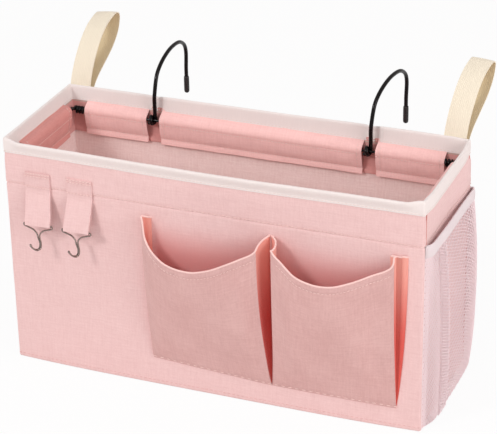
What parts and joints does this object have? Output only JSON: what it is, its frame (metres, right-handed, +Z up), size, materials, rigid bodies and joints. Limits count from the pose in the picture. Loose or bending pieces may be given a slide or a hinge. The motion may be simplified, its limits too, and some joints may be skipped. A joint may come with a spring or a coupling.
{
  "type": "bedside caddy",
  "caption": "Boarded fabric caddy that hangs on a rail by wire hooks, with webbing loops, hanging clips, front pockets and a mesh end pocket.",
  "frame": {"origin": "centre of the base's underside", "axes": "+X along the long front towards the mesh pocket's end, +Y to the back where the hooks are, +Z up"},
  "size_m": [0.409, 0.2349, 0.2782],
  "materials": {
    "pink_fabric": "matt woven",
    "pocket_fabric": "matt woven",
    "lining_fabric": "matt felt",
    "binding_tape": "matt tape",
    "cream_webbing": "matt webbing",
    "white_mesh": "open mesh",
    "stiffener": "matt board",
    "black_wire": "gloss black",
    "black_rubber": "satin",
    "bright_wire": "polished"
  },
  "bodies": {
    "basket": {"front_panel": "pink_fabric", "back_panel": "pink_fabric", "right_panel": "pink_fabric", "left_panel": "pink_fabric", "base_panel": "pink_fabric", "front_board": "stiffener", "back_board": "stiffener", "right_board": "stiffener", "left_board": "stiffener", "base_board": "stiffener", "front_lining": "lining_fabric", "back_lining": "lining_fabric", "right_lining": "lining_fabric", "left_lining": "lining_fabric", "base_lining": "lining_fabric", "sleeve_backing_front": "pink_fabric", "sleeve_backing_back": "pink_fabric", "sleeve_backing_right": "pink_fabric", "sleeve_backing_left": "pink_fabric", "rim_binding": "binding_tape", "frame_back_rod": "black_wire", "frame_side_wire": "black_wire", "sleeve_front": "pink_fabric", "sleeve_right": "pink_fabric", "sleeve_left": "pink_fabric", "sleeve_back_left": "pink_fabric", "sleeve_back_middle": "pink_fabric", "sleeve_back_right": "pink_fabric", "loop_left_end": "cream_webbing", "loop_right_end": "cream_webbing", "tab_left_top": "pink_fabric", "tab_right_top": "pink_fabric", "pocket_left_face": "pocket_fabric", "pocket_left_gusset_left": "pocket_fabric", "pocket_left_gusset_right": "pocket_fabric", "pocket_right_face": "pocket_fabric", "pocket_right_gusset_left": "pocket_fabric", "pocket_right_gusset_right": "pocket_fabric", "mesh_front_gusset": "white_mesh", "mesh_face": "white_mesh", "mesh_rear_gusset": "white_mesh", "mesh_floor": "white_mesh", "mesh_binding": "binding_tape"},
    "left_rail_hook": {"hook_left": "black_wire", "hook_tip_left": "black_rubber"},
    "right_rail_hook": {"hook_right": "black_wire", "hook_tip_right": "black_rubber"},
    "left_loop": {"loop_left": "cream_webbing"},
    "right_loop": {"loop_right": "cream_webbing"},
    "left_tab": {"tab_left": "pink_fabric"},
    "right_tab": {"tab_right": "pink_fabric"},
    "left_clip": {"clip_left": "bright_wire"},
    "right_clip": {"clip_right": "bright_wire"}
  },
  "joints": [
    {"name": "hook_left_swing", "type": "hinge", "parent": "basket", "child": "left_rail_hook", "pos_m": [-0.107, 0.0576, 0.206], "axis": [1, 0, 0], "range_deg": [0, 170]},
    {"name": "hook_right_swing", "type": "hinge", "parent": "basket", "child": "right_rail_hook", "pos_m": [0.108, 0.0576, 0.206], "axis": [1, 0, 0], "range_deg": [0, 170]},
    {"name": "loop_left_fold", "type": "hinge", "parent": "basket", "child": "left_loop", "pos_m": [-0.1885, 0.07045, 0.2135], "axis": [1, 0, 0], "range_deg": [-90, 0]},
    {"name": "loop_right_fold", "type": "hinge", "parent": "basket", "child": "right_loop", "pos_m": [0.1885, 0.07045, 0.2135], "axis": [1, 0, 0], "range_deg": [-90, 0]},
    {"name": "tab_left_swing", "type": "hinge", "parent": "basket", "child": "left_tab", "pos_m": [-0.1666, -0.0689, 0.178], "axis": [1, 0, 0], "range_deg": [-80, 5]},
    {"name": "tab_right_swing", "type": "hinge", "parent": "basket", "child": "right_tab", "pos_m": [-0.1244, -0.0689, 0.178], "axis": [1, 0, 0], "range_deg": [-80, 5]},
    {"name": "clip_left_swing", "type": "hinge", "parent": "left_tab", "child": "left_clip", "pos_m": [-0.1666, -0.0805, 0.151], "axis": [1, 0, 0], "range_deg": [-60, 20]},
    {"name": "clip_right_swing", "type": "hinge", "parent": "right_tab", "child": "right_clip", "pos_m": [-0.1244, -0.0805, 0.151], "axis": [1, 0, 0], "range_deg": [-60, 20]}
  ]
}
